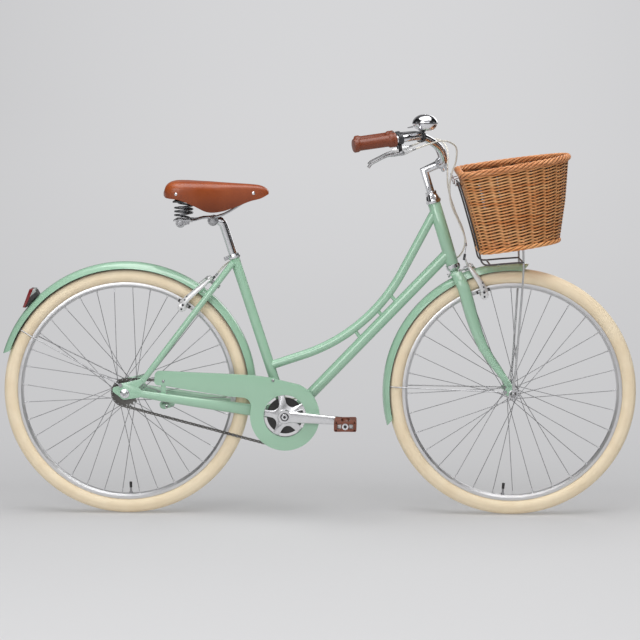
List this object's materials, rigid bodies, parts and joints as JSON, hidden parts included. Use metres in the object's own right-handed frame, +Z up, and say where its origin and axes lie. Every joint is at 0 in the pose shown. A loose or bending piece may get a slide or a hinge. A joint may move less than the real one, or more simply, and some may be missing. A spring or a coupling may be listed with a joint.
{
  "type": "step-through city bicycle",
  "caption": "City bicycle with a curved step-through frame, mudguards, chain guard, sprung saddle and a wicker basket that turns with the fork.",
  "frame": {"origin": "on the ground, midway between the two axles, in the middle plane", "axes": "+X forwards, +Z up, -Y towards the chain side"},
  "size_m": [1.8286, 0.6332, 1.155],
  "materials": {
    "mint_paint": "gloss paint",
    "chrome": "polished",
    "steel": "satin",
    "aluminium": "satin",
    "cream_rubber": "matt, cream",
    "black_plastic": "matt",
    "brown_plastic": "matt",
    "red_lens": "gloss",
    "brown_leather": "smooth",
    "wicker": "woven wicker",
    "cream_plastic": "satin"
  },
  "bodies": {
    "frame_assembly": {"frame": "mint_paint", "seat_clamp": "chrome", "bottom_bracket": "steel", "headset_upper": "chrome", "headset_lower": "chrome", "rear_fender": "mint_paint", "rear_fender_stay": "steel", "tail_light_housing": "black_plastic", "tail_light_lens": "red_lens", "chain_guard": "mint_paint", "rear_axle": "steel", "rear_brake_bolt": "steel", "rear_brake_cable": "cream_plastic", "chain": "steel"},
    "seat": {"seat_post": "chrome", "saddle_clamp": "steel", "saddle_frame": "chrome", "saddle_spring_left": "chrome", "saddle_spring_right": "chrome"},
    "saddle": {"saddle_cover": "brown_leather"},
    "rear_wheel": {"rear_tyre": "cream_rubber", "rear_rim": "aluminium", "rear_hub": "aluminium", "rear_valve": "black_plastic"},
    "freewheel": {"rear_sprocket": "steel"},
    "crankset": {"crank_spindle": "steel", "chainring": "steel", "crank_right": "aluminium", "crank_left": "aluminium", "pedal_spindle_right": "steel", "pedal_spindle_left": "steel"},
    "right_pedal": {"pedal_right": "brown_plastic"},
    "left_pedal": {"pedal_left": "brown_plastic"},
    "steering_assembly": {"fork": "mint_paint", "stem": "aluminium", "handlebar": "chrome", "grip_right": "brown_leather", "grip_left": "brown_leather", "lever_mount_right": "aluminium", "lever_mount_left": "aluminium", "bell_base": "chrome", "bell_dome": "chrome", "basket": "wicker", "basket_support": "steel", "front_fender": "mint_paint", "front_fender_stay": "steel", "front_brake_bolt": "steel", "front_brake_cable": "cream_plastic", "front_axle": "steel"},
    "front_wheel": {"front_tyre": "cream_rubber", "front_rim": "aluminium", "front_hub": "aluminium", "front_valve": "black_plastic"},
    "right_brake_lever": {"lever_right": "aluminium"},
    "left_brake_lever": {"lever_left": "aluminium"},
    "front_brake_right": {"front_brake_arm_right": "aluminium"},
    "front_brake_left": {"front_brake_arm_left": "aluminium"},
    "rear_brake_right": {"rear_brake_arm_right": "aluminium"},
    "rear_brake_left": {"rear_brake_arm_left": "aluminium"},
    "bell_striker": {"bell_lever": "chrome"}
  },
  "joints": [
    {"name": "steering_turn", "type": "hinge", "parent": "frame_assembly", "child": "steering_assembly", "pos_m": [0.3288, 0, 0.9014], "axis": [-0.2924, 0, 0.9563], "range_deg": [-60, 60], "deforming": ["rear_brake_cable"]},
    {"name": "front_wheel_spin", "type": "hinge", "parent": "steering_assembly", "child": "front_wheel", "pos_m": [0.556, 0, 0.357], "axis": [0, 1, 0], "continuous": true},
    {"name": "rear_wheel_spin", "type": "hinge", "parent": "frame_assembly", "child": "rear_wheel", "pos_m": [-0.556, 0, 0.357], "axis": [0, 1, 0], "continuous": true},
    {"name": "crank_spin", "type": "hinge", "parent": "frame_assembly", "child": "crankset", "pos_m": [-0.09707, 0, 0.292], "axis": [0, 1, 0], "continuous": true, "deforming": ["chain"]},
    {"name": "freewheel_spin", "type": "hinge", "parent": "frame_assembly", "child": "freewheel", "pos_m": [-0.556, 0, 0.357], "axis": [0, 1, 0], "continuous": true},
    {"name": "pedal_right_spin", "type": "hinge", "parent": "crankset", "child": "right_pedal", "pos_m": [0.07758, -0.13, 0.28101], "axis": [0, 1, 0], "continuous": true},
    {"name": "pedal_left_spin", "type": "hinge", "parent": "crankset", "child": "left_pedal", "pos_m": [-0.27173, 0.13, 0.30299], "axis": [0, 1, 0], "continuous": true},
    {"name": "seat_height", "type": "slide", "parent": "frame_assembly", "child": "seat", "axis": [-0.309, 0, 0.9511], "range_m": [-0.05, 0.1]},
    {"name": "saddle_bounce", "type": "hinge", "parent": "seat", "child": "saddle", "pos_m": [-0.168, 0, 0.931], "axis": [0, -1, 0], "range_deg": [0, 3], "stiffness_Nm_per_rad": 1500, "deforming": ["saddle_spring_left", "saddle_spring_right"]},
    {"name": "lever_right_squeeze", "type": "hinge", "parent": "steering_assembly", "child": "right_brake_lever", "pos_m": [0.233, -0.25, 1.049], "axis": [-0.3125, 0.9499, 0], "range_deg": [0, 18], "stiffness_Nm_per_rad": 0.3},
    {"name": "lever_left_squeeze", "type": "hinge", "parent": "steering_assembly", "child": "left_brake_lever", "pos_m": [0.233, 0.25, 1.049], "axis": [0.3125, 0.9499, 0], "range_deg": [0, 18], "stiffness_Nm_per_rad": 0.3},
    {"name": "front_brake_right_swing", "type": "hinge", "parent": "steering_assembly", "child": "front_brake_right", "pos_m": [0.39014, 0, 0.70077], "axis": [0.9205, 0, 0.3907], "range_deg": [0, 1.65], "stiffness_Nm_per_rad": 1},
    {"name": "front_brake_left_swing", "type": "hinge", "parent": "steering_assembly", "child": "front_brake_left", "pos_m": [0.39014, 0, 0.70077], "axis": [-0.9205, 0, -0.3907], "range_deg": [0, 1.65], "stiffness_Nm_per_rad": 1},
    {"name": "rear_brake_right_swing", "type": "hinge", "parent": "frame_assembly", "child": "rear_brake_right", "pos_m": [-0.29674, 0, 0.66569], "axis": [0.7951, 0, -0.6065], "range_deg": [0, 1.3], "stiffness_Nm_per_rad": 1},
    {"name": "rear_brake_left_swing", "type": "hinge", "parent": "frame_assembly", "child": "rear_brake_left", "pos_m": [-0.29674, 0, 0.66569], "axis": [-0.7951, 0, 0.6065], "range_deg": [0, 1.3], "stiffness_Nm_per_rad": 1},
    {"name": "bell_lever_press", "type": "hinge", "parent": "steering_assembly", "child": "bell_striker", "pos_m": [0.2626, -0.181, 1.12], "axis": [0, 0, 1], "range_deg": [0, 25], "stiffness_Nm_per_rad": 0.02}
  ],
  "couplings": [
    {"joint": "freewheel_spin", "follows": "crank_spin", "ratio": 2.4211},
    {"joint": "front_brake_right_swing", "follows": "lever_right_squeeze", "ratio": 0.09},
    {"joint": "front_brake_left_swing", "follows": "lever_right_squeeze", "ratio": 0.09},
    {"joint": "rear_brake_right_swing", "follows": "lever_left_squeeze", "ratio": 0.07},
    {"joint": "rear_brake_left_swing", "follows": "lever_left_squeeze", "ratio": 0.07}
  ]
}
